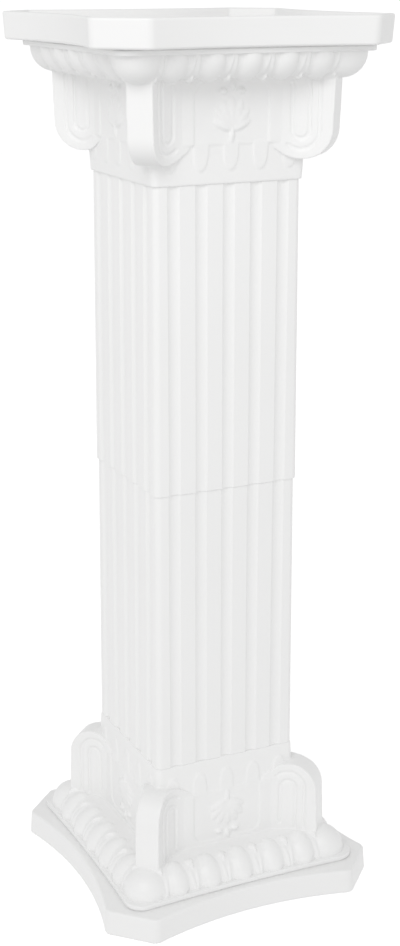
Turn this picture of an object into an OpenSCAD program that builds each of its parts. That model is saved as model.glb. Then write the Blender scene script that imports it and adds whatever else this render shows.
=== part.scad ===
// Square display column in four mouldings: base, two shaft halves and capital.
// The base and the capital are one design, the capital turned over.
// Millimetres, +Z up, origin at the centre of the underside.

/* [Overall] */
// Height from the floor to the top of the rim
column_h = 917; // [700:10:1300]
// Width of the slab of the base and of the capital, side to side
slab_w = 314; // [300:2:420]
// How much less of the lower shaft half shows than of the upper one
sleeve_overlap = 5; // [0:1:30]

/* [Slab] */
// Thickness of the slab
slab_t = 27; // [18:1:40]
// Leg of the cut-off corner
corner_leg = 41; // [24:1:60]
// How far the middle of each side bows in
side_sag = 17; // [4:1:24]
// Rounding of the slab's upright edges
corner_round = 9; // [3:1:14]
// Depth of the tray inside the rim
tray_depth = 14; // [6:1:16]
// Width of the rim around the tray
rim_w = 6; // [3:0.5:12]

/* [Mouldings] */
// Thickness of the flat fillet under the slab
fillet_t = 8; // [4:1:14]
// Ledge of the slab left outside the fillet, at the middle of a side
ledge_w = 7; // [3:0.5:12]
// Rounding of the fillet's corners
fillet_round = 18; // [6:1:30]
// How far the fillet stands outside the eggs
fillet_margin = 2; // [0.5:0.5:5]
// Radius of the egg moulding's ground
ovolo_r = 23.5; // [16:0.5:28]
// How far the eggs stand proud of the ground
egg_proud = 4; // [2:0.5:6]
// Radius of an egg
egg_r = 20; // [14:0.5:24]
// Eggs along one side, between the corner eggs
egg_count = 5; // [3:2:5]

/* [Bell] */
// Depth from the slab's face to the end of the bell block
bell_end = 118; // [100:0.5:140]
// How far the bell block stands outside the neck
bell_step = 1.75; // [1:0.25:6]
// Width of the sunk panel on each face
panel_w = 80; // [60:1:90]
// How deep the panel is sunk
panel_sink = 1.5; // [0.5:0.1:2.5]
// How far the leaf stands proud of the panel
leaf_proud = 2.5; // [1:0.1:4]

/* [Brackets] */
// How far a bracket reaches past the corner of the egg moulding's core
bracket_tuck = 1.6; // [0:0.2:8]
// How much the reach falls towards the shaft
bracket_fall = 3.5; // [0:0.5:8]
// Width of the bracket's flat face
bracket_face_w = 26; // [18:1:34]
// Depth from the slab's face to the bracket's rounded end
bracket_end = 134.5; // [126:0.5:148]
// Radius of the rounded end
bracket_round = 28; // [16:1:34]
// Straight length of a bracket's flank, before its cove begins
flank_len = 19; // [8:1:26]

/* [Neck] */
// Depth from the slab's face to the seam with the shaft
neck_end = 155; // [145:1:180]
// How far the neck stands outside the shaft's head at the seam
neck_lip = 1.3; // [0:0.1:2]
// How much further the neck stands out at the bell
neck_flare = 3; // [0:0.25:5]
// Tongues on one face
tongue_count = 5; // [3:1:7]
// Width of a raised tongue
tongue_w = 15; // [8:0.5:18]
// Depth from the slab's face to the tip of a tongue
tongue_end = 142.5; // [136:0.5:152]
// Plain margin from the neck's edge to the first tongue
tongue_margin = 12; // [6:0.5:16]
// How far a tongue stands proud of the neck
tongue_proud = 1; // [0.4:0.1:2]

/* [Shaft] */
// Width of a shaft half at its lower end
shaft_foot_w = 160; // [140:0.5:164]
// How much narrower a shaft half is at its upper end
shaft_taper = 3; // [0:0.5:8]
// Rounding of the shaft's corners
shaft_round = 7; // [3:0.5:12]
// Flutes on one face
flute_count = 5; // [3:1:7]
// Width of the ridge left at the shaft's corner
corner_ridge = 13.5; // [7:0.5:16]
// Width of a flute
flute_w = 13; // [8:0.5:18]
// Depth of a flute
flute_depth = 2.2; // [1:0.1:4]

/* [Plug joints] */
// Wall left around a socket, from the shaft's outer face
socket_wall = 9.5; // [6:0.5:20]
// Height of a plug
plug_h = 16; // [8:1:30]
// Clearance around a plug and above it
plug_gap = 0.4; // [0.2:0.1:1]

/* [Hidden] */
$fn = 96;
white = [0.96, 0.96, 0.95];
half = slab_w / 2;
chamfer_line = slab_w - corner_leg;
sag_chord = half - corner_leg;
sag_r = (sag_chord * sag_chord + side_sag * side_sag) / (2 * side_sag);
sag_centre = half - side_sag + sag_r;
upper_head_z = column_h - neck_end;
mid_seam_z = (neck_end + upper_head_z - sleeve_overlap) / 2;
fillet_w = slab_w - 2 * side_sag - 2 * ledge_w;
ovolo_core_w = fillet_w - 2 * (fillet_margin + egg_proud + ovolo_r);
ovolo_start = slab_t + fillet_t + 1;
ovolo_c = ovolo_core_w / 2;
egg_pitch = ovolo_core_w / (egg_count + 0.52);
egg_reach = ovolo_r + egg_proud - egg_r;
shaft_head_w = shaft_foot_w - shaft_taper;
neck_seam_w = shaft_head_w + 2 * neck_lip;
neck_w = neck_seam_w + 2 * neck_flare;
bell_w = neck_w + 2 * bell_step;
bell_half = bell_w / 2;
bracket_reach = ovolo_c * sqrt(2) + bracket_tuck;
bracket_low_reach = bracket_reach - bracket_fall;
// the coves run out just inside the bell's face, so that they meet it at a clear angle
bell_diagonal = (bell_half - 0.4) * sqrt(2);
cove_x = bracket_reach - flank_len;
cove_r = (cove_x - bell_diagonal + bracket_face_w / 2) / (sqrt(2) - 1);
cove_end_x = cove_x - cove_r * sin(45);
flute_pitch = (shaft_head_w - 2 * corner_ridge - flute_w) / (flute_count - 1);
tongue_pitch = (neck_w - 2 * tongue_margin - tongue_w) / (tongue_count - 1);
plug_w = shaft_head_w - 2 * socket_wall;

// Centre of the small circle that rounds the corner between the right side and the cut corner.
// It lies on the line parallel to the cut corner and touches the side's bowed-in arc.
function round_centre(inset) =
    let (r = corner_round, s = chamfer_line - (r + inset) * sqrt(2), reach = sag_r + r + inset,
         b = sag_centre + s, c = sag_centre * sag_centre + s * s - reach * reach)
    // (x - sag_centre)^2 + (s - x)^2 = reach^2
    let (x = (b - sqrt(b * b - 2 * c)) / 2)
    [x, s - x];

// Plan of the slab, shrunk by inset
module slab_plan(inset) {
    p = round_centre(inset);
    difference() {
        union() {
            for (k = [0:3])
                rotate(90 * k) {
                    translate(p) circle(corner_round);
                    translate([p[1], p[0]]) circle(corner_round);
                }
            polygon([for (k = [0:3], q = slab_quadrant(p, inset))
                [q[0] * cos(90 * k) - q[1] * sin(90 * k), q[0] * sin(90 * k) + q[1] * cos(90 * k)]]);
        }
        for (k = [0:3])
            rotate(90 * k) translate([sag_centre, 0]) circle(sag_r + inset, $fn = 360);
    }
}

// Tangent points of one quadrant: side arc, cut corner, cut corner, next side arc
function slab_quadrant(p, inset) =
    let (d = [sag_centre - p[0], -p[1]], n = d / norm(d), a = p + n * corner_round,
         t = p + [1, 1] * corner_round / sqrt(2))
    [a, t, [t[1], t[0]], [a[1], a[0]]];

module rounded_square(w, r) {
    for (x = [-1, 1], y = [-1, 1])
        translate([x * (w / 2 - r), y * (w / 2 - r)]) circle(r);
    square([w, w - 2 * r], center = true);
    square([w - 2 * r, w], center = true);
}

// Square prism from width w0 at the bottom to width w1 at height h
module tapered_square(w0, w1, h) {
    outline = [[-w0 / 2, 0], [w0 / 2, 0], [w1 / 2, h], [-w1 / 2, h]];
    intersection() {
        rotate([90, 0, 0]) linear_extrude(2 * w0 + 2 * w1, center = true) polygon(outline);
        rotate([90, 0, 90]) linear_extrude(2 * w0 + 2 * w1, center = true) polygon(outline);
    }
}

module slab() {
    difference() {
        linear_extrude(slab_t) slab_plan(0);
        translate([0, 0, -1]) linear_extrude(tray_depth + 1) slab_plan(rim_w);
    }
}

// Quarter-round around the square core, with its eggs
module egg_moulding() {
    translate([0, 0, slab_t]) linear_extrude(fillet_t) rounded_square(fillet_w, fillet_round);
    intersection() {
        union() {
            for (k = [0:3])
                rotate(90 * k) {
                    translate([-ovolo_c, -ovolo_c, ovolo_start])
                        rotate([0, 90, 0]) cylinder(h = ovolo_core_w, r = ovolo_r);
                    translate([-ovolo_c, -ovolo_c, ovolo_start]) sphere(ovolo_r);
                    eggs_on_side();
                }
            translate([0, 0, ovolo_start])
                cube([ovolo_core_w, ovolo_core_w, 2 * ovolo_r], center = true);
        }
        translate([0, 0, slab_t + 1 + 100]) cube([slab_w, slab_w, 200], center = true);
    }
}

// Five eggs on the side that faces -Y and the big one on its left corner
module eggs_on_side() {
    lean = egg_reach * sin(45);
    for (i = [0:egg_count - 1])
        translate([(i - (egg_count - 1) / 2) * egg_pitch, -ovolo_c - lean, ovolo_start + lean])
            rotate([0, 90, 0]) sphere(egg_r);
    corner_r = ovolo_r + egg_proud - 1.5;
    translate([-ovolo_c - 0.75, -ovolo_c - 0.75, ovolo_start + 1.05])
        rotate([-55, 0, -45]) sphere(corner_r);
}

// Plan of one bracket, reaching along +X: a flat face, two straight flanks and two coves
module bracket_plan() {
    f = bracket_face_w / 2;
    // the cove turns 45 degrees, from the flank to the bell's face
    out = bell_diagonal - cove_end_x;
    difference() {
        polygon([[0, 0], [cove_end_x, -out], [cove_x, -f], [bracket_reach, -f],
            [bracket_reach, f], [cove_x, f], [cove_end_x, out]]);
        for (s = [-1, 1])
            translate([cove_x, s * (f + cove_r)]) circle(cove_r, $fn = 180);
    }
}

// Side view of one bracket: reach along +X, depth from the slab's face along +Y.
// Only its rounded end goes below the bell block; the coves stop just short of the bell's edge.
module bracket_side() {
    low = bracket_low_reach;
    cove_stop = bell_end - 0.6;
    c = [low - bracket_round, bracket_end - bracket_round];
    polygon([[0, slab_t + 1], [bracket_reach - 1, slab_t + 1], [bracket_reach, ovolo_start + ovolo_r],
        [low, c[1]], c, [c[0], cove_stop], [0, cove_stop]]);
    translate(c) circle(bracket_round);
}

module brackets() {
    for (k = [0:3])
        rotate(45 + 90 * k)
            intersection() {
                linear_extrude(bracket_end + 1) bracket_plan();
                rotate([90, 0, 0]) linear_extrude(2 * bell_w, center = true) bracket_side();
            }
}

// Leaf ornament, flat on the XY plane, tip of the stem at the origin, opening towards +Y
module leaf_plan() {
    petals = [[0, 34, 9], [-26, 27, 8], [26, 27, 8], [-58, 20, 7], [58, 20, 7]];
    for (p = petals)
        translate([0, 14]) rotate(p[0]) petal(p[1], p[2]);
    translate([-1.6, 0]) square([3.2, 20]);
    translate([0, 50]) circle(3.2);
}

// Pointed petal of length l and width w, from the origin along +Y
module petal(l, w) {
    r = (l * l / 4 + w * w / 4) / w;
    intersection() {
        translate([r - w / 2, l / 2]) circle(r);
        translate([w / 2 - r, l / 2]) circle(r);
    }
}

// Bell block with its sunk panels and leaves
module bell() {
    panel_half = bell_half - panel_sink;
    bottom = slab_t + 1;
    difference() {
        translate([0, 0, bottom]) linear_extrude(bell_end - bottom) square(bell_w, center = true);
        for (k = [0:3])
            rotate(90 * k)
                translate([-panel_w / 2, -bell_half - 1, bottom - 1])
                    cube([panel_w, panel_sink + 1, bell_end]);
    }
    for (k = [0:3])
        rotate(90 * k)
            translate([0, 1 - panel_half, bell_end - 1])
                rotate([90, 180, 0])
                    linear_extrude(leaf_proud + 1) leaf_plan();
}

module neck() {
    h = neck_end - bell_end;
    intersection() {
        translate([0, 0, bell_end - 1]) tapered_square(neck_w, neck_seam_w, h + 1);
        linear_extrude(neck_end) rounded_square(neck_w, shaft_round);
    }
    tip = tongue_end - tongue_w / 2;
    for (k = [0:3], i = [0:tongue_count - 1])
        rotate(90 * k)
            translate([(i - (tongue_count - 1) / 2) * tongue_pitch, 2 - neck_w / 2, 0])
                rotate([90, 0, 0])
                    linear_extrude(2 + tongue_proud) {
                        translate([-tongue_w / 2, bell_end - 1]) square([tongue_w, tip - bell_end + 1]);
                        translate([0, tip]) circle(tongue_w / 2);
                    }
}

// One end moulding with its slab's face on the XY plane and its neck upwards
module end_moulding() {
    slab();
    egg_moulding();
    bell();
    brackets();
    neck();
}

module plug(z) {
    translate([-plug_w / 2, -plug_w / 2, z - 1]) cube([plug_w, plug_w, plug_h + 1]);
}

module socket(z) {
    w = plug_w + 2 * plug_gap;
    translate([-w / 2, -w / 2, z - 1]) cube([w, w, plug_h + plug_gap + 1]);
}

// Fluted square shaft from z0 to z1, wider at its lower end
module fluted_shaft(z0, z1) {
    h = z1 - z0;
    lean = atan((shaft_foot_w - shaft_head_w) / 2 / h);
    r = (flute_w * flute_w / 4 + flute_depth * flute_depth) / (2 * flute_depth);
    difference() {
        intersection() {
            translate([0, 0, z0]) tapered_square(shaft_foot_w, shaft_head_w, h);
            translate([0, 0, z0]) linear_extrude(h) rounded_square(shaft_foot_w, shaft_round);
        }
        for (k = [0:3], i = [0:flute_count - 1])
            rotate(90 * k)
                translate([(i - (flute_count - 1) / 2) * flute_pitch, -shaft_foot_w / 2, z0])
                    rotate([-lean, 0, 0])
                        translate([0, flute_depth - r, -5]) cylinder(h = h + 10, r = r);
    }
}

module base() {
    color(white) {
        end_moulding();
        plug(neck_end);
    }
}

module lower_shaft() {
    color(white)
        difference() {
            union() {
                fluted_shaft(neck_end, mid_seam_z);
                plug(mid_seam_z);
            }
            socket(neck_end);
        }
}

module upper_shaft() {
    color(white)
        difference() {
            union() {
                fluted_shaft(mid_seam_z, upper_head_z);
                plug(upper_head_z);
            }
            socket(mid_seam_z);
        }
}

module capital() {
    color(white)
        difference() {
            translate([0, 0, column_h]) rotate([180, 0, 0]) end_moulding();
            socket(upper_head_z);
        }
}

base();
lower_shaft();
upper_shaft();
capital();
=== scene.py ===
# %% [markdown]
# # A square display column in moulded white plastic
# The real thing is four hollow mouldings that plug into each other: a base, two fluted shaft
# halves and a capital, which is the base's own moulding turned over. This lesson builds the base
# moulding once, in parts that suit how each shape is made, then copies it, and fluted shafts go
# between. Everything is in metres, with +Z up and the origin under the middle of the base.

# %% Load the frame
import math

import bmesh
import bpy
from mathutils import Matrix, Vector


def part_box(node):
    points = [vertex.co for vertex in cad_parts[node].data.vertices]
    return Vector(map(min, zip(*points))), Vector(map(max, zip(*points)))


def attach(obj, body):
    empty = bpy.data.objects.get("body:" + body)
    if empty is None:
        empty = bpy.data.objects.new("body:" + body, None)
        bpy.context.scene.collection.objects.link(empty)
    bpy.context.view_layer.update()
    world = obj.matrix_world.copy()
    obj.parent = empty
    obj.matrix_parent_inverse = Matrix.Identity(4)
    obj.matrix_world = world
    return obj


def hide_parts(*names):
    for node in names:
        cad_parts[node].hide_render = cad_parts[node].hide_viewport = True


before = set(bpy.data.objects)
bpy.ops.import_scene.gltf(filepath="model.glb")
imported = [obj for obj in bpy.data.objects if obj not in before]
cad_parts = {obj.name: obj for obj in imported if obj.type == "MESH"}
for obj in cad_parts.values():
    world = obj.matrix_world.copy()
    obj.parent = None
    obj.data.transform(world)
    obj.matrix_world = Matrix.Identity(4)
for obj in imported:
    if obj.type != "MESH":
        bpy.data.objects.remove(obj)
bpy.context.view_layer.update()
mm = 0.001
neck_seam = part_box("lower_shaft")[0].z
middle_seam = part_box("upper_shaft")[0].z
head_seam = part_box("capital")[0].z
column_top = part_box("capital")[1].z
foot_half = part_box("upper_shaft")[1].x
print("seams at", [round(z, 3) for z in (neck_seam, middle_seam, head_seam, column_top)])

# %% [markdown]
# ## Working by operator
# Blender's operators act on whatever is selected, so two habits keep a script honest: start each
# primitive with nothing selected, and pick faces, edges or points by where they are. These few
# helpers hold those habits, and the rest of the lesson reads like a list of modelling steps.


# %% Helpers for selecting
def clear_selection():
    if bpy.context.mode != "OBJECT":
        bpy.ops.object.mode_set(mode="OBJECT")
    bpy.ops.object.select_all(action="DESELECT")


def select_only(*pieces):
    clear_selection()
    for piece in pieces:
        piece.select_set(True)
    bpy.context.view_layer.objects.active = pieces[0]


def settle(name):
    """Names the new primitive and moves its place into its mesh."""
    piece = bpy.context.object
    piece.name = piece.data.name = name
    bpy.ops.object.transform_apply(location=True, rotation=True, scale=True)
    return piece


print("for selecting: clear_selection, select_only and settle")


# %% Helpers for primitives
def block(name, low, high):
    """A cube primitive stretched between two corners."""
    clear_selection()
    low, high = Vector(low), Vector(high)
    bpy.ops.mesh.primitive_cube_add(size=1, location=(low + high) / 2, scale=high - low)
    return settle(name)


def rod(name, radius, start, end, sides=64):
    """A cylinder primitive from one point to another."""
    clear_selection()
    start, end = Vector(start), Vector(end)
    turn = (end - start).to_track_quat("Z", "Y").to_euler()
    bpy.ops.mesh.primitive_cylinder_add(
        vertices=sides, radius=radius, depth=(end - start).length, location=(start + end) / 2, rotation=turn
    )
    return settle(name)


def ball(name, centre, radii, segments=32, rings=20):
    """A sphere primitive squashed to three radii."""
    clear_selection()
    bpy.ops.mesh.primitive_uv_sphere_add(
        segments=segments, ring_count=rings, radius=1, location=centre, scale=radii
    )
    return settle(name)


print("for primitives: block, rod and ball")


# %% Helpers for edit mode
def edit(piece):
    select_only(piece)
    bpy.ops.object.mode_set(mode="EDIT")


def done():
    bpy.ops.object.mode_set(mode="OBJECT")


def pick(piece, kind, wanted):
    """In edit mode, selects the faces, edges or verts that pass a test, and says how many."""
    bpy.ops.mesh.select_mode(type={"faces": "FACE", "edges": "EDGE", "verts": "VERT"}[kind])
    bpy.ops.mesh.select_all(action="DESELECT")
    shape = bmesh.from_edit_mesh(piece.data)
    shape.normal_update()
    chosen = [item for item in getattr(shape, kind) if wanted(item)]
    for item in chosen:
        item.select_set(True)
    shape.select_flush_mode()
    bmesh.update_edit_mesh(piece.data)
    return len(chosen)


def climbs(edge, least):
    """Whether an edge rises by more than a height."""
    return abs(edge.verts[0].co.z - edge.verts[1].co.z) > least


def weld(piece, reach):
    """Merges the points that a cut has left closer than a distance, which would stop a bevel."""
    edit(piece)
    bpy.ops.mesh.select_all(action="SELECT")
    bpy.ops.mesh.remove_doubles(threshold=reach)
    done()


print("for edit mode: edit, done, pick, climbs and weld")


# %% Helpers for modifiers
def modify(piece, kind, **settings):
    """Adds one modifier and applies it."""
    select_only(piece)
    modifier = piece.modifiers.new(kind.title(), kind)
    for setting, value in settings.items():
        setattr(modifier, setting, value)
    bpy.ops.object.modifier_apply(modifier=modifier.name)
    return piece


def combine(piece, operation, *tools):
    """Adds, takes away or keeps the overlap with other solids, which are then thrown away."""
    for tool in tools:
        modify(piece, "BOOLEAN", operation=operation, solver="EXACT", object=tool)
        bpy.data.objects.remove(tool, do_unlink=True)
    return piece


print("for modifiers: modify and combine")


# %% Helpers for copies
def shifted(x, y, z):
    return Matrix.Translation((x, y, z))


def turned(degrees, axis):
    return Matrix.Rotation(math.radians(degrees), 4, axis)


def copy_moved(piece, matrix, name=None):
    """A copy with its own mesh, moved by a matrix; a mirrored copy has its faces turned back outwards."""
    twin = piece.copy()
    twin.data = piece.data.copy()
    bpy.context.collection.objects.link(twin)
    twin.data.transform(matrix)
    if matrix.is_negative:
        twin.data.flip_normals()
    twin.name = twin.data.name = name or piece.name
    return twin


def join(name, pieces):
    select_only(*pieces)
    bpy.ops.object.join()
    whole = bpy.context.object
    whole.name = whole.data.name = name
    return whole


def quarter_turns(piece):
    """The piece and its three copies, one for each side of the column."""
    return [piece] + [copy_moved(piece, turned(90 * k, "Z")) for k in (1, 2, 3)]


def count(piece):
    """How many triangles the piece has."""
    piece.data.calc_loop_triangles()
    return len(piece.data.loop_triangles)


print("for copies: shifted, turned, copy_moved, join, quarter_turns and count")

# %% [markdown]
# ## The slab
# A square plate with its corners cut off and its sides bowed in, hollowed to a tray inside a thin
# rim. It could be an extruded outline, but cutting a cube is closer to how a pattern maker works:
# bisect off the corners, bow the sides with four big cylinders, then inset and sink the tray. The
# plate is drawn with its outer face down at z = 0, as it lies in the base.

# %% Cut the slab's outline
slab_half = 157 * mm
slab_thick = 27 * mm
corner_leg = 41 * mm
side_bow = 17 * mm
bow_chord = slab_half - corner_leg
bow_radius = (bow_chord**2 + side_bow**2) / (2 * side_bow)
slab = block("slab", (-slab_half, -slab_half, 0), (slab_half, slab_half, slab_thick))
edit(slab)
for x, y in ((1, 1), (-1, 1), (-1, -1), (1, -1)):
    bpy.ops.mesh.select_all(action="SELECT")
    cut_at = Vector((x, y, 0)) * (slab_half - corner_leg / 2)
    bpy.ops.mesh.bisect(plane_co=cut_at, plane_no=(x, y, 0), use_fill=True, clear_outer=True)
done()
bow_tool = rod(
    "bow_tool",
    bow_radius,
    (slab_half - side_bow + bow_radius, 0, -slab_thick),
    (slab_half - side_bow + bow_radius, 0, 2 * slab_thick),
    sides=300,
)
combine(slab, "DIFFERENCE", *quarter_turns(bow_tool))
weld(slab, 2 * mm)
print("slab outline:", len(slab.data.vertices), "points")

# %% Give it draft, round its upright corners and sink the tray
rim_width = 6 * mm
tray_depth = 14 * mm
slab_draft = 0.99
tray_draft = 0.992
corner_round = 5.4 * mm
slab_edge = 2.4 * mm
sharp = math.radians(40)
edit(slab)
pick(slab, "verts", lambda v: v.co.z > slab_thick - mm)
bpy.ops.transform.resize(value=(slab_draft, slab_draft, 1), center_override=(0, 0, 0))
corners = pick(
    slab, "edges", lambda e: climbs(e, slab_thick / 2) and e.calc_face_angle(0) > math.radians(20)
)
bpy.ops.mesh.bevel(offset=corner_round, segments=6, profile=0.5)
pick(slab, "faces", lambda f: f.normal.z < -0.9)
bpy.ops.mesh.inset(thickness=rim_width)
bpy.ops.mesh.extrude_region_move(TRANSFORM_OT_translate={"value": (0, 0, tray_depth)})
bpy.ops.transform.resize(value=(tray_draft, tray_draft, 1), center_override=(0, 0, 0))
done()
modify(slab, "BEVEL", width=slab_edge, segments=4, limit_method="ANGLE", angle_limit=sharp)
print("slab:", corners, "corners rounded,", count(slab), "triangles")

# %% [markdown]
# ## The fillet
# A low square step between the slab and the eggs. Its sides bow in a little, following the slab,
# and its edge is a soft arris that catches the light as one bright line. It could be raised from
# the slab's own face by an inset, but its corners are rounder than the slab's, so it starts as a
# block. A narrower copy of it joins it to the slab, which leaves the thin shadow line between them.

# %% Step the fillet out of a block
fillet_top = slab_thick + 6 * mm
shadow_gap = 1 * mm
fillet_half = 134 * mm
fillet_corner = 19 * mm
fillet = block(
    "fillet",
    (-fillet_half, -fillet_half, slab_thick + shadow_gap),
    (fillet_half, fillet_half, fillet_top),
)
edit(fillet)
pick(fillet, "edges", lambda e: climbs(e, 2 * mm))
bpy.ops.mesh.bevel(offset=fillet_corner, segments=8, profile=0.5)
done()
fillet_dip = 3 * mm
fillet_radius = (fillet_half - fillet_corner) ** 2 / (2 * fillet_dip)
fillet_centre = fillet_half - fillet_dip + fillet_radius
fillet_tool = rod(
    "fillet_tool", fillet_radius, (fillet_centre, 0, 0), (fillet_centre, 0, 2 * fillet_top), sides=1200
)
combine(fillet, "DIFFERENCE", *quarter_turns(fillet_tool))
weld(fillet, 1.2 * mm)
print("fillet bows in by", round(fillet_dip, 4), "on a radius of", round(fillet_radius, 2))

# %% Round its edge and set a narrower copy behind the shadow line
fillet_edge = 1.3 * mm
recess_share = 0.988
recess_drop = 3.6 * mm
narrower = shifted(0, 0, -recess_drop) @ Matrix.Diagonal((recess_share, recess_share, 1, 1))
recess = copy_moved(fillet, narrower, "recess")
modify(fillet, "BEVEL", width=fillet_edge, segments=3, limit_method="ANGLE", angle_limit=sharp)
fillet = join("fillet", [fillet, recess])
print("fillet:", count(fillet), "triangles")

# %% [markdown]
# ## The egg moulding
# A quarter-round runs round the column, carved with an egg-and-dart row. The quarter-round is a
# rod on each side of a square core. One egg is a sphere stretched along the profile and narrowed at
# its end towards the bell. One dart is a pair of thin ribs, swept with spin, with a small arrow head
# between them. An array could repeat them, but the last dart stands nearer than the others, so each
# is made once and copied to a list of places. What would reach through the slab into its tray is
# cut off.


# %% The quarter-round and its core
def trim_below(piece, height):
    """Cuts off what lies below a height and closes the cut."""
    edit(piece)
    bpy.ops.mesh.select_all(action="SELECT")
    bpy.ops.mesh.bisect(plane_co=(0, 0, height), plane_no=(0, 0, -1), use_fill=True, clear_outer=True)
    done()


core_half = 103.5 * mm
egg_start = slab_thick + 6.5 * mm
ground_radius = 22.4 * mm
side_rod = rod(
    "quarter_round",
    ground_radius,
    (-core_half, -core_half, egg_start),
    (core_half, -core_half, egg_start),
    sides=96,
)
trim_below(side_rod, slab_thick - mm)
core = block(
    "egg_core",
    (-core_half, -core_half, slab_thick - mm),
    (core_half, core_half, egg_start + ground_radius - 0.2 * mm),
)
print("quarter-round radius", ground_radius)

# %% One egg
egg_out = 10 * mm
egg_up = 8.4 * mm
egg_radii = (14.8 * mm, 20.5 * mm, 13.2 * mm)
egg_tip_share = 0.9
egg = ball("egg", (0, 0, 0), egg_radii)
edit(egg)
pick(egg, "verts", lambda v: v.co.y > 6 * mm)
bpy.ops.transform.resize(value=(egg_tip_share, 1, 1), center_override=(0, 0, 0))
done()
egg.data.transform(shifted(0, -core_half - egg_out, egg_start + egg_up) @ turned(45, "X"))
trim_below(egg, slab_thick + 2 * mm)
egg_pitch = 37.5 * mm
eggs = [copy_moved(egg, shifted(i * egg_pitch, 0, 0)) for i in (-2, -1, 1, 2)] + [egg]
print("eggs on a side:", len(eggs))

# %% The dart's ribs
rib_radius = 1.6 * mm
rib_clear = 0.6 * mm
rib_aside = 3.4 * mm
rib_sweep = 84
rib_lean = 6


def rib(lean):
    """A thin rib over the quarter-round, swept by spin and leant sideways by some degrees."""
    clear_selection()
    bpy.ops.mesh.primitive_circle_add(
        vertices=10,
        radius=rib_radius,
        fill_type="NGON",
        location=(0, -core_half - ground_radius - rib_clear, egg_start - 4 * mm),
    )
    strip = settle("rib")
    edit(strip)
    bpy.ops.mesh.select_all(action="SELECT")
    bpy.ops.mesh.spin(
        steps=14,
        angle=math.radians(rib_sweep),
        center=(0, -core_half, egg_start - 2 * mm),
        axis=(1, 0, 0),
    )
    bpy.ops.mesh.select_all(action="SELECT")
    bpy.ops.mesh.normals_make_consistent(inside=False)
    done()
    to_middle = shifted(0, -core_half, egg_start)
    tip_up = turned(45, "X")
    leant = tip_up.inverted() @ turned(lean, "Y") @ tip_up
    aside = shifted(math.copysign(rib_aside, lean), 0, 0)
    strip.data.transform(aside @ to_middle @ leant @ to_middle.inverted())
    return strip


ribs = [rib(rib_lean), rib(-rib_lean)]
print("ribs in a dart:", len(ribs))

# %% One dart: the ribs and an arrow head
arrow_at = Vector((0, -core_half - 5 * mm, egg_start + 21 * mm))
arrow_radii = (5 * mm, 8 * mm, 4 * mm)
arrow_tip_share = 0.45
arrow = ball("arrow", arrow_at, arrow_radii, 16, 10)
edit(arrow)
pick(arrow, "verts", lambda v: v.co.y < arrow_at.y - 2 * mm)
bpy.ops.transform.resize(value=(arrow_tip_share, 1, 1), center_override=(0, 0, 0))
done()
dart = join("dart", ribs + [arrow])
end_dart = 92 * mm
dart_places = [i * egg_pitch for i in (-1.5, -0.5, 0.5, 1.5)] + [-end_dart, end_dart]
darts = [copy_moved(dart, shifted(x, 0, 0)) for x in dart_places]
bpy.data.objects.remove(dart, do_unlink=True)
print("darts on a side:", len(darts))

# %% The corner egg, and the row on all four sides
side = join("egg_side", [side_rod] + eggs + darts)
corner_at = -core_half - 1.8 * mm
corner_radius = 24.5 * mm
corner_egg = ball("corner_egg", (corner_at, corner_at, egg_start + 0.5 * mm), (corner_radius,) * 3)
trim_below(corner_egg, slab_thick - mm)
egg_row = quarter_turns(join("egg_row", [side, corner_egg])) + [core]
print("egg moulding parts:", len(egg_row))

# %% [markdown]
# ## The bell
# Inside the brackets the moulding narrows to a square bell. Each face has a shallow sunk panel,
# rounded at the two corners nearer the slab, and a leaf stands in it. An inset could sink the panel,
# but with square corners, so it is taken out with a bevelled block.


# %% The bell block and its panels
def middle(edge):
    return (edge.verts[0].co + edge.verts[1].co) / 2


bell_half = 84.5 * mm
bell_end = 118 * mm
bell = block("bell", (-bell_half, -bell_half, slab_thick), (bell_half, bell_half, bell_end))
panel_deep = 1.3 * mm
panel_half = 40 * mm
panel_start = 60 * mm
panel_corner = 12 * mm
panel_tool = block(
    "panel_tool",
    (-panel_half, -bell_half - 5 * mm, panel_start),
    (panel_half, -bell_half + panel_deep, bell_end + 20 * mm),
)
edit(panel_tool)
pick(
    panel_tool,
    "edges",
    lambda e: abs(middle(e).z - panel_start) < mm and abs(middle(e).x) > panel_half - mm,
)
bpy.ops.mesh.bevel(offset=panel_corner, segments=8, profile=0.5)
done()
combine(bell, "DIFFERENCE", *quarter_turns(panel_tool))
print("bell:", len(bell.data.polygons), "faces")

# %% One blade of the leaf
blade_half_thick = 2.9
blade_end = 0.7
end_wider = 1.12
end_thinner = 0.8


def petal(length, width, turn, rise=0.0):
    """A leaf blade in millimetres, turned by some degrees about the point where the leaf opens."""
    radii = Vector((width / 2, blade_half_thick, length / 2)) * mm
    blade = ball("petal", (0, 0, radii.z), radii, 20, 14)
    edit(blade)
    pick(blade, "verts", lambda v: v.co.z > length * blade_end * mm)
    bpy.ops.transform.resize(value=(end_wider, end_thinner, 1), center_override=(0, 0, 0))
    done()
    blade.data.transform(shifted(0, 0, rise * mm) @ turned(turn, "Y"))
    return blade


print("a blade is", 2 * blade_half_thick, "mm thick where it is widest")

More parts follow.
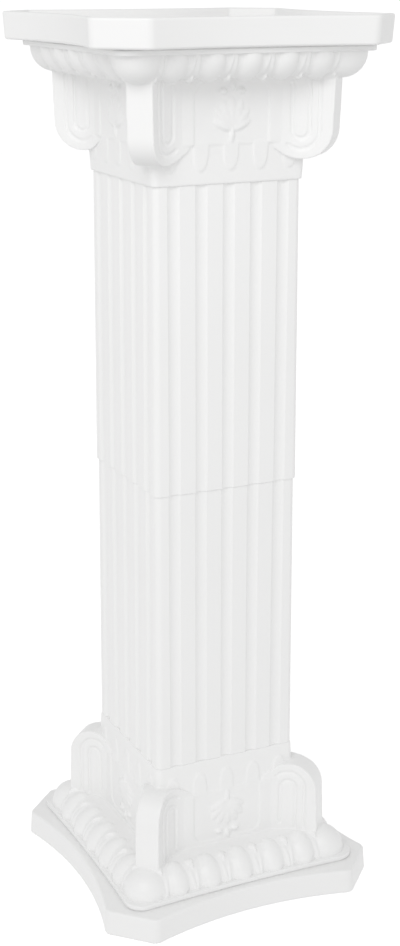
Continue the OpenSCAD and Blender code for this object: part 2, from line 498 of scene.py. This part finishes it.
# %% Spread the blades into a leaf
bud_up = 41 * mm
bud_radii = (3.6 * mm, 3.4 * mm, 5 * mm)
curl_out = 9.5 * mm
curl_up = 36 * mm
curl_radii = (4.6 * mm, 3.2 * mm, 3.2 * mm)
leaf_parts = [petal(length=31, width=9.5, turn=0)]
for turn, length, width in ((21, 30, 9), (42, 27, 8.5), (64, 22, 8)):
    leaf_parts += [petal(length, width, turn), petal(length, width, -turn)]
leaf_parts.append(petal(length=16, width=5, turn=180, rise=4))
leaf_parts.append(ball("bud", (0, 0, bud_up), bud_radii, 14, 10))
for side_sign in (-1, 1):
    leaf_parts.append(ball("curl", (side_sign * curl_out, 0, curl_up), curl_radii, 14, 10))
leaf = join("leaf", leaf_parts)
leaf_opens = bell_end - 13 * mm
leaf.data.transform(shifted(0, -bell_half + panel_deep, leaf_opens) @ turned(180, "Y"))
print("leaf:", count(leaf), "triangles")

# %% [markdown]
# ## The corner brackets
# A bracket stands on each corner of the bell: a flat face towards the corner, straight flanks, then
# a cove that runs out on the bell's face. Its end towards the shaft is round. Two U-shaped channels
# run round that end on each flank. It could be an outline given a thickness, but cutting the
# channels with a larger copy of the cove's own cutter keeps them at one depth all the way. One
# bracket is built on the +X axis and turned to the corners.

# %% The bracket's blank
reach = 148 * mm
face_half = 13 * mm
bracket_end = 134.5 * mm
end_radius = 28 * mm
cove_at = 129 * mm
cove_radius = 58.35 * mm
out_angle = math.radians(18.9)
reach_fall = 3.8 * mm
bracket_root = 86 * mm
flank_half = 60 * mm
bracket = block("bracket", (bracket_root, -flank_half, slab_thick), (reach, flank_half, bracket_end))
edit(bracket)
pick(bracket, "verts", lambda v: v.co.x > reach - mm and v.co.z > bracket_end - mm)
bpy.ops.transform.translate(value=(-reach_fall, 0, 0))
pick(bracket, "edges", lambda e: middle(e).z > bracket_end - mm and abs(middle(e).y) < mm)
bpy.ops.mesh.bevel(offset=end_radius, segments=14, profile=0.5)
done()
inner_start = 10 * mm
inner_end = 124 * mm
inner = block(
    "inner",
    (inner_start, -flank_half + 2 * mm, slab_thick - mm),
    (inner_end, flank_half - 2 * mm, bell_end - 0.2 * mm),
)
combine(bracket, "UNION", inner)
print("bracket blank:", len(bracket.data.polygons), "faces")

# %% The cutter for a cove
cutter_width = 130 * mm


def cove_tool(side_sign, deeper=0.0):
    """The round cutter for one flank; a deeper one reaches that much further into the bracket."""
    centre_y = side_sign * (face_half + cove_radius)
    start = Vector((cove_at, centre_y, 0))
    end = Vector((cove_at, centre_y, 2 * bell_end))
    tool = rod("cove_tool", cove_radius + deeper, start, end, sides=160)
    near, far = sorted((side_sign * (face_half - deeper), side_sign * cutter_width))
    straight = block("straight", (cove_at - mm, near, -mm), (2 * reach, far, 2 * bell_end + mm))
    return combine(tool, "UNION", straight)


for side_sign in (-1, 1):
    combine(bracket, "DIFFERENCE", cove_tool(side_sign))
print("coves cut, radius", round(cove_radius, 4))

# %% The bar for a channel
bend = Vector((114 * mm, 0, 107 * mm))
channel_half = 1.9 * mm
channel_deep = 1.4 * mm
channel_start = 58 * mm
bar_half = 90 * mm


def channel_bar(radius, sweep, inner_leg):
    """A straight leg and a spun bend round the bracket's end, then a second leg if it has a length."""
    bar = block(
        "channel",
        (bend.x + radius - channel_half, -bar_half, channel_start),
        (bend.x + radius + channel_half, bar_half, bend.z),
    )
    edit(bar)
    pick(bar, "faces", lambda f: f.normal.z > 0.9)
    bpy.ops.mesh.spin(steps=16, angle=math.radians(sweep), center=bend, axis=(0, 1, 0))
    if inner_leg:
        bpy.ops.mesh.extrude_region_move(TRANSFORM_OT_translate={"value": (0, 0, -inner_leg)})
    bpy.ops.mesh.select_all(action="SELECT")
    bpy.ops.mesh.normals_make_consistent(inside=False)
    done()
    return bar


channels = ((8 * mm, 180, 45 * mm), (18 * mm, 135, 0))
for radius, sweep, leg in channels:
    for side_sign in (-1, 1):
        channel = channel_bar(radius, sweep, leg)
        combine(channel, "INTERSECT", cove_tool(side_sign, deeper=channel_deep))
        combine(bracket, "DIFFERENCE", channel)
print("channels on a flank:", len(channels))

# %% Run the coves out on the bell and turn the bracket to the corners
edit(bracket)
for side_sign in (-1, 1):
    bpy.ops.mesh.select_all(action="SELECT")
    bpy.ops.mesh.bisect(
        plane_co=(0, 0, 0),
        plane_no=(-math.sin(out_angle), side_sign * math.cos(out_angle), 0),
        use_fill=True,
        clear_outer=True,
    )
done()
bracket.data.transform(turned(45, "Z"))
brackets = quarter_turns(bracket)
print("bracket:", len(bracket.data.polygons), "faces, reach", reach)

# %% [markdown]
# ## The neck
# A plain square collar joins the bell to the shaft and leans in slightly. Five raised tongues stand
# on each face, each ending in a long round tip, roughly in line with the shaft's flutes. A bevel on
# a block's end would give a short half circle, so the tip is half a rod, stretched.

# %% The collar
neck_bell_half = 82.4 * mm
neck_seam_half = 80.4 * mm
neck_corner = 6 * mm
neck = block(
    "neck",
    (-neck_bell_half, -neck_bell_half, bell_end - 3 * mm),
    (neck_bell_half, neck_bell_half, neck_seam),
)
edit(neck)
pick(neck, "faces", lambda f: f.normal.z > 0.9)
narrowing = neck_seam_half / neck_bell_half
bpy.ops.transform.resize(value=(narrowing, narrowing, 1), center_override=(0, 0, 0))
pick(neck, "edges", lambda e: climbs(e, 20 * mm))
bpy.ops.mesh.bevel(offset=neck_corner, segments=6, profile=0.5)
done()
print("neck:", len(neck.data.polygons), "faces")

# %% One tongue, leant with the neck and copied along the face
tongue_half = 7.5 * mm
tip_start = 124 * mm
tip_length = 18.5 * mm
tongue_proud = 1.1 * mm
tongue_thick = 4 * mm
tongue_out = neck_bell_half + tongue_proud
tongue = rod("tongue", 1, (0, -tongue_out, 0), (0, -tongue_out + tongue_thick, 0), sides=40)
tongue.data.transform(shifted(0, 0, tip_start) @ Matrix.Diagonal((tongue_half, 1, tip_length, 1)))
trim_below(tongue, tip_start)
edit(tongue)
pick(tongue, "faces", lambda f: f.normal.z < -0.9)
tongue_root = bell_end - 2 * mm
bpy.ops.mesh.extrude_region_move(TRANSFORM_OT_translate={"value": (0, 0, tongue_root - tip_start)})
done()
neck_lean = math.atan2(neck_bell_half - neck_seam_half, neck_seam - bell_end)
at_bell = shifted(0, -tongue_out, bell_end)
tongue.data.transform(at_bell @ Matrix.Rotation(-neck_lean, 4, "X") @ at_bell.inverted())
tongue_pitch = 31.7 * mm
tongues = [copy_moved(tongue, shifted(i * tongue_pitch, 0, 0)) for i in (-2, -1, 1, 2)] + [tongue]
print("tongues on a face:", len(tongues))

# %% [markdown]
# ## Fusing the ornament
# A moulding has no sharp inner corners: plastic rounds every crease. Joining the closed parts and
# remeshing them with small voxels fuses them into one skin, a little smoothing softens its edges,
# and a decimate drops the points that flat faces don't need. Booleans and bevels would keep edges
# crisper than this material does, and they break on crossings as busy as the egg row.

# %% Fuse, soften and thin the ornament
voxel = 0.95 * mm
triangle_goal = 170000
relief = quarter_turns(join("face_relief", [leaf] + tongues))
ornament = join("ornament", egg_row + [bell, neck] + brackets + relief)
modify(ornament, "REMESH", mode="VOXEL", voxel_size=voxel, use_smooth_shade=True)
modify(ornament, "SMOOTH", factor=0.5, iterations=4)
full = count(ornament)
modify(ornament, "DECIMATE", decimate_type="COLLAPSE", ratio=min(1.0, triangle_goal / full))
print("ornament:", full, "triangles thinned to", count(ornament))

# %% [markdown]
# ## The fluted shafts
# Each half is a square post, wider at its foot, with five round-bottomed flutes on a face. The
# flutes are cut with rods that follow the taper, and a bevel softens the ridges between them, so
# that each ridge has a lit and a shaded shoulder.

# %% Build a shaft half
shaft_taper = 1.5 * mm
shaft_corner = 6.5 * mm
ridge_round = 1.6 * mm
flute_half = 6.5 * mm
flute_deep = 2.2 * mm
flute_pitch = 29.3 * mm


def shaft(name, low, high):
    """A tapered square post between two heights, with five flutes on each face."""
    foot = foot_half
    head = foot_half - shaft_taper
    post = block(name, (-foot, -foot, low), (foot, foot, high))
    edit(post)
    pick(post, "faces", lambda f: f.normal.z > 0.9)
    bpy.ops.transform.resize(value=(head / foot, head / foot, 1), center_override=(0, 0, 0))
    pick(post, "edges", lambda e: climbs(e, 20 * mm))
    bpy.ops.mesh.bevel(offset=shaft_corner, segments=6, profile=0.5)
    done()
    flute_radius = (flute_half**2 + flute_deep**2) / (2 * flute_deep)
    inset = flute_radius - flute_deep
    for i in (-2, -1, 0, 1, 2):
        bottom = Vector((i * flute_pitch, -foot - inset, low - 0.2 * mm))
        top = Vector((i * flute_pitch, -head - inset, high + 0.2 * mm))
        combine(post, "DIFFERENCE", *quarter_turns(rod("flute", flute_radius, bottom, top, 72)))
    ridge_angle = math.radians(24)
    modify(post, "BEVEL", width=ridge_round, segments=3, limit_method="ANGLE", angle_limit=ridge_angle)
    return post


lower_shaft = shaft("lower_shaft_post", neck_seam, middle_seam)
upper_shaft = shaft("upper_shaft_post", middle_seam, head_seam)
print("shaft halves:", count(lower_shaft), count(upper_shaft), "triangles")

# %% [markdown]
# ## The capital
# The capital comes out of the same mould as the base. Built afresh, it could drift from it, so it is
# the base's three parts turned over: half a turn about X, then up to the column's full height.

# %% Copy the base's parts to the top
turn_over = shifted(0, 0, column_top) @ Matrix.Rotation(math.pi, 4, "X")
base_parts = [slab, fillet, ornament]
capital_parts = [copy_moved(part, turn_over, "capital_" + part.name) for part in base_parts]
for part in base_parts:
    part.name = part.data.name = "base_" + part.name
print([part.name for part in base_parts + capital_parts])

# %% [markdown]
# ## The finish
# White moulded plastic: nearly one colour, a satin skin with a fine grain from the mould, soft
# waves where the skin cooled, and gloss that varies a little from handling. A picture of plastic
# could be wrapped round the column, but noise has no seams. All of it is drawn in Object
# coordinates, so it stays on the part.


# %% Shader arithmetic
class Field:
    """A number that varies over the surface: a node's output, with Python's own arithmetic."""

    def __init__(self, tree, socket):
        self.tree, self.socket = tree, socket

    def math(self, operation, a, b):
        return self.node("ShaderNodeMath", {"operation": operation}, {0: a, 1: b})

    def __add__(self, other):
        return self.math("ADD", self, other)

    __radd__ = __add__

    def __mul__(self, other):
        return self.math("MULTIPLY", self, other)

    __rmul__ = __mul__

    def __rsub__(self, other):
        return self.math("SUBTRACT", other, self)

    def node(self, kind, settings, sockets, output=0):
        """Any node: its type, its settings, then the values or links of its sockets."""
        made = self.tree.nodes.new(kind)
        for setting, value in settings.items():
            setattr(made, setting, value)
        for socket, value in sockets.items():
            if isinstance(value, Field):
                self.tree.links.new(value.socket, made.inputs[socket])
            else:
                made.inputs[socket].default_value = value
        return Field(self.tree, made.outputs[output])


print("for finishes and light: Field")

# %% White moulded plastic
plastic = bpy.data.materials.new("white_moulded_plastic")
plastic.use_nodes = True
tree = plastic.node_tree
surface = tree.nodes["Principled BSDF"]
place = Field(tree, tree.nodes.new("ShaderNodeTexCoord").outputs["Object"])
noise = "ShaderNodeTexNoise"
grain = place.node(noise, {}, {"Vector": place, "Scale": 900.0, "Detail": 3.0, "Roughness": 0.6})
waves = place.node(noise, {}, {"Vector": place, "Scale": 26.0, "Detail": 2.0, "Roughness": 0.4})
clouds = place.node(noise, {}, {"Vector": place, "Scale": 7.0, "Detail": 4.0, "Roughness": 0.55})
# The mix node has several sockets of each name, so its colour sockets go by number.
share_socket = 0
first_colour_socket = 6
second_colour_socket = 7
mixed_colour = 2
tone = place.node(
    "ShaderNodeMix",
    {"data_type": "RGBA"},
    {
        share_socket: clouds,
        first_colour_socket: (0.885, 0.885, 0.88, 1),
        second_colour_socket: (0.92, 0.92, 0.918, 1),
    },
    output=mixed_colour,
)
gloss = 0.36 + 0.10 * clouds + 0.06 * grain
height = 0.12 * grain + waves
bump = place.node("ShaderNodeBump", {}, {"Height": height, "Strength": 0.10, "Distance": 0.0012})
tree.links.new(tone.socket, surface.inputs["Base Color"])
tree.links.new(gloss.socket, surface.inputs["Roughness"])
tree.links.new(bump.socket, surface.inputs["Normal"])
surface.inputs["IOR"].default_value = 1.48
print("finish:", plastic.name, len(tree.nodes), "nodes")

# %% Finish every piece and hand it to the frame
stands_for = {
    "base": base_parts,
    "capital": capital_parts,
    "lower_shaft": [lower_shaft],
    "upper_shaft": [upper_shaft],
}
for node, parts in stands_for.items():
    for part in parts:
        select_only(part)
        bpy.ops.object.shade_smooth_by_angle(angle=math.radians(32))
        if "ornament" not in part.name:
            modify(part, "WEIGHTED_NORMAL", keep_sharp=True, weight=80)
        part.data.materials.clear()
        part.data.materials.append(plastic)
        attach(part, "root")
        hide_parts(node)
print({part.name: count(part) for parts in stands_for.values() for part in parts})

# %% [markdown]
# ## Floor, light and camera
# A plain pale floor and a wide soft light: a bright surround, and a big panel in front and to the
# left for the gentle modelling. The surround gives the most light from the side, less from straight
# above and least from straight below, and the floor neither shades the column nor throws light on
# it. The camera looks down a little on the front corner.

# %% The floor
clear_selection()
bpy.ops.mesh.primitive_plane_add(size=14, location=(0, 0, 0))
floor = settle("floor")
paper = bpy.data.materials.new("pale_floor")
paper.use_nodes = True
sheet = paper.node_tree.nodes["Principled BSDF"]
sheet.inputs["Base Color"].default_value = (0.93, 0.93, 0.93, 1)
sheet.inputs["Roughness"].default_value = 0.9
sheet.inputs["Emission Color"].default_value = (1, 1, 1, 1)
sheet.inputs["Emission Strength"].default_value = 0.4
floor.data.materials.append(paper)
floor.visible_diffuse = False
floor.visible_shadow = False
print("floor:", paper.name)

# %% The bright surround
scene = bpy.context.scene
scene.view_settings.view_transform = "Standard"
world = bpy.data.worlds.new("studio")
world.use_nodes = True
backdrop = world.node_tree
seen = Field(backdrop, backdrop.nodes.new("ShaderNodeLightPath").outputs["Is Camera Ray"])
towards = Field(backdrop, backdrop.nodes.new("ShaderNodeTexCoord").outputs["Generated"])
height_of_ray = towards.node("ShaderNodeSeparateXYZ", {}, {"Vector": towards}, output="Z")


def ramp(start, end, strength_at_start, strength_at_end):
    """A strength that changes smoothly between two heights of the ray."""
    return height_of_ray.node(
        "ShaderNodeMapRange",
        {"interpolation_type": "SMOOTHSTEP"},
        {
            "Value": height_of_ray,
            "From Min": start,
            "From Max": end,
            "To Min": strength_at_start,
            "To Max": strength_at_end,
        },
    )


low_part = ramp(-0.95, -0.65, 0.3, 1.0)
high_part = ramp(-0.2, 0.75, 1.0, 0.74)
light_strength = 0.87
background_strength = 1.05
glow = light_strength * low_part * high_part * (1 - seen) + background_strength * seen
backdrop.links.new(glow.socket, backdrop.nodes["Background"].inputs["Strength"])
backdrop.nodes["Background"].inputs["Color"].default_value = (1, 1, 1, 1)
scene.world = world
print("surround:", len(backdrop.nodes), "nodes")

# %% The panel in front and to the left
panel_at = Vector((-1.3, -1.55, 2.0))
panel_aim = Vector((0, 0, 0.7))
clear_selection()
bpy.ops.object.light_add(type="AREA", location=panel_at)
key_panel = bpy.context.object
key_panel.name = "key_panel"
key_panel.rotation_euler = (panel_aim - panel_at).to_track_quat("-Z", "Y").to_euler()
key_panel.data.size = 1.2
key_panel.data.energy = 17
print("panel:", key_panel.data.size, "m across,", key_panel.data.energy, "W")

# %% The camera
clear_selection()
eye = Vector((-0.6952, -1.4696, 0.9578))
look_at = Vector((0, 0, 0.4344))
bpy.ops.object.camera_add(location=eye, rotation=(look_at - eye).to_track_quat("-Z", "Y").to_euler())
camera = bpy.context.object
camera.name = "camera"
camera.data.lens = 61.34
camera.data.sensor_width = 36
camera.data.shift_x = 0.0064
camera.data.shift_y = 0.0144
scene.camera = camera
print("camera", round((look_at - eye).length, 3), "m from what it looks at")
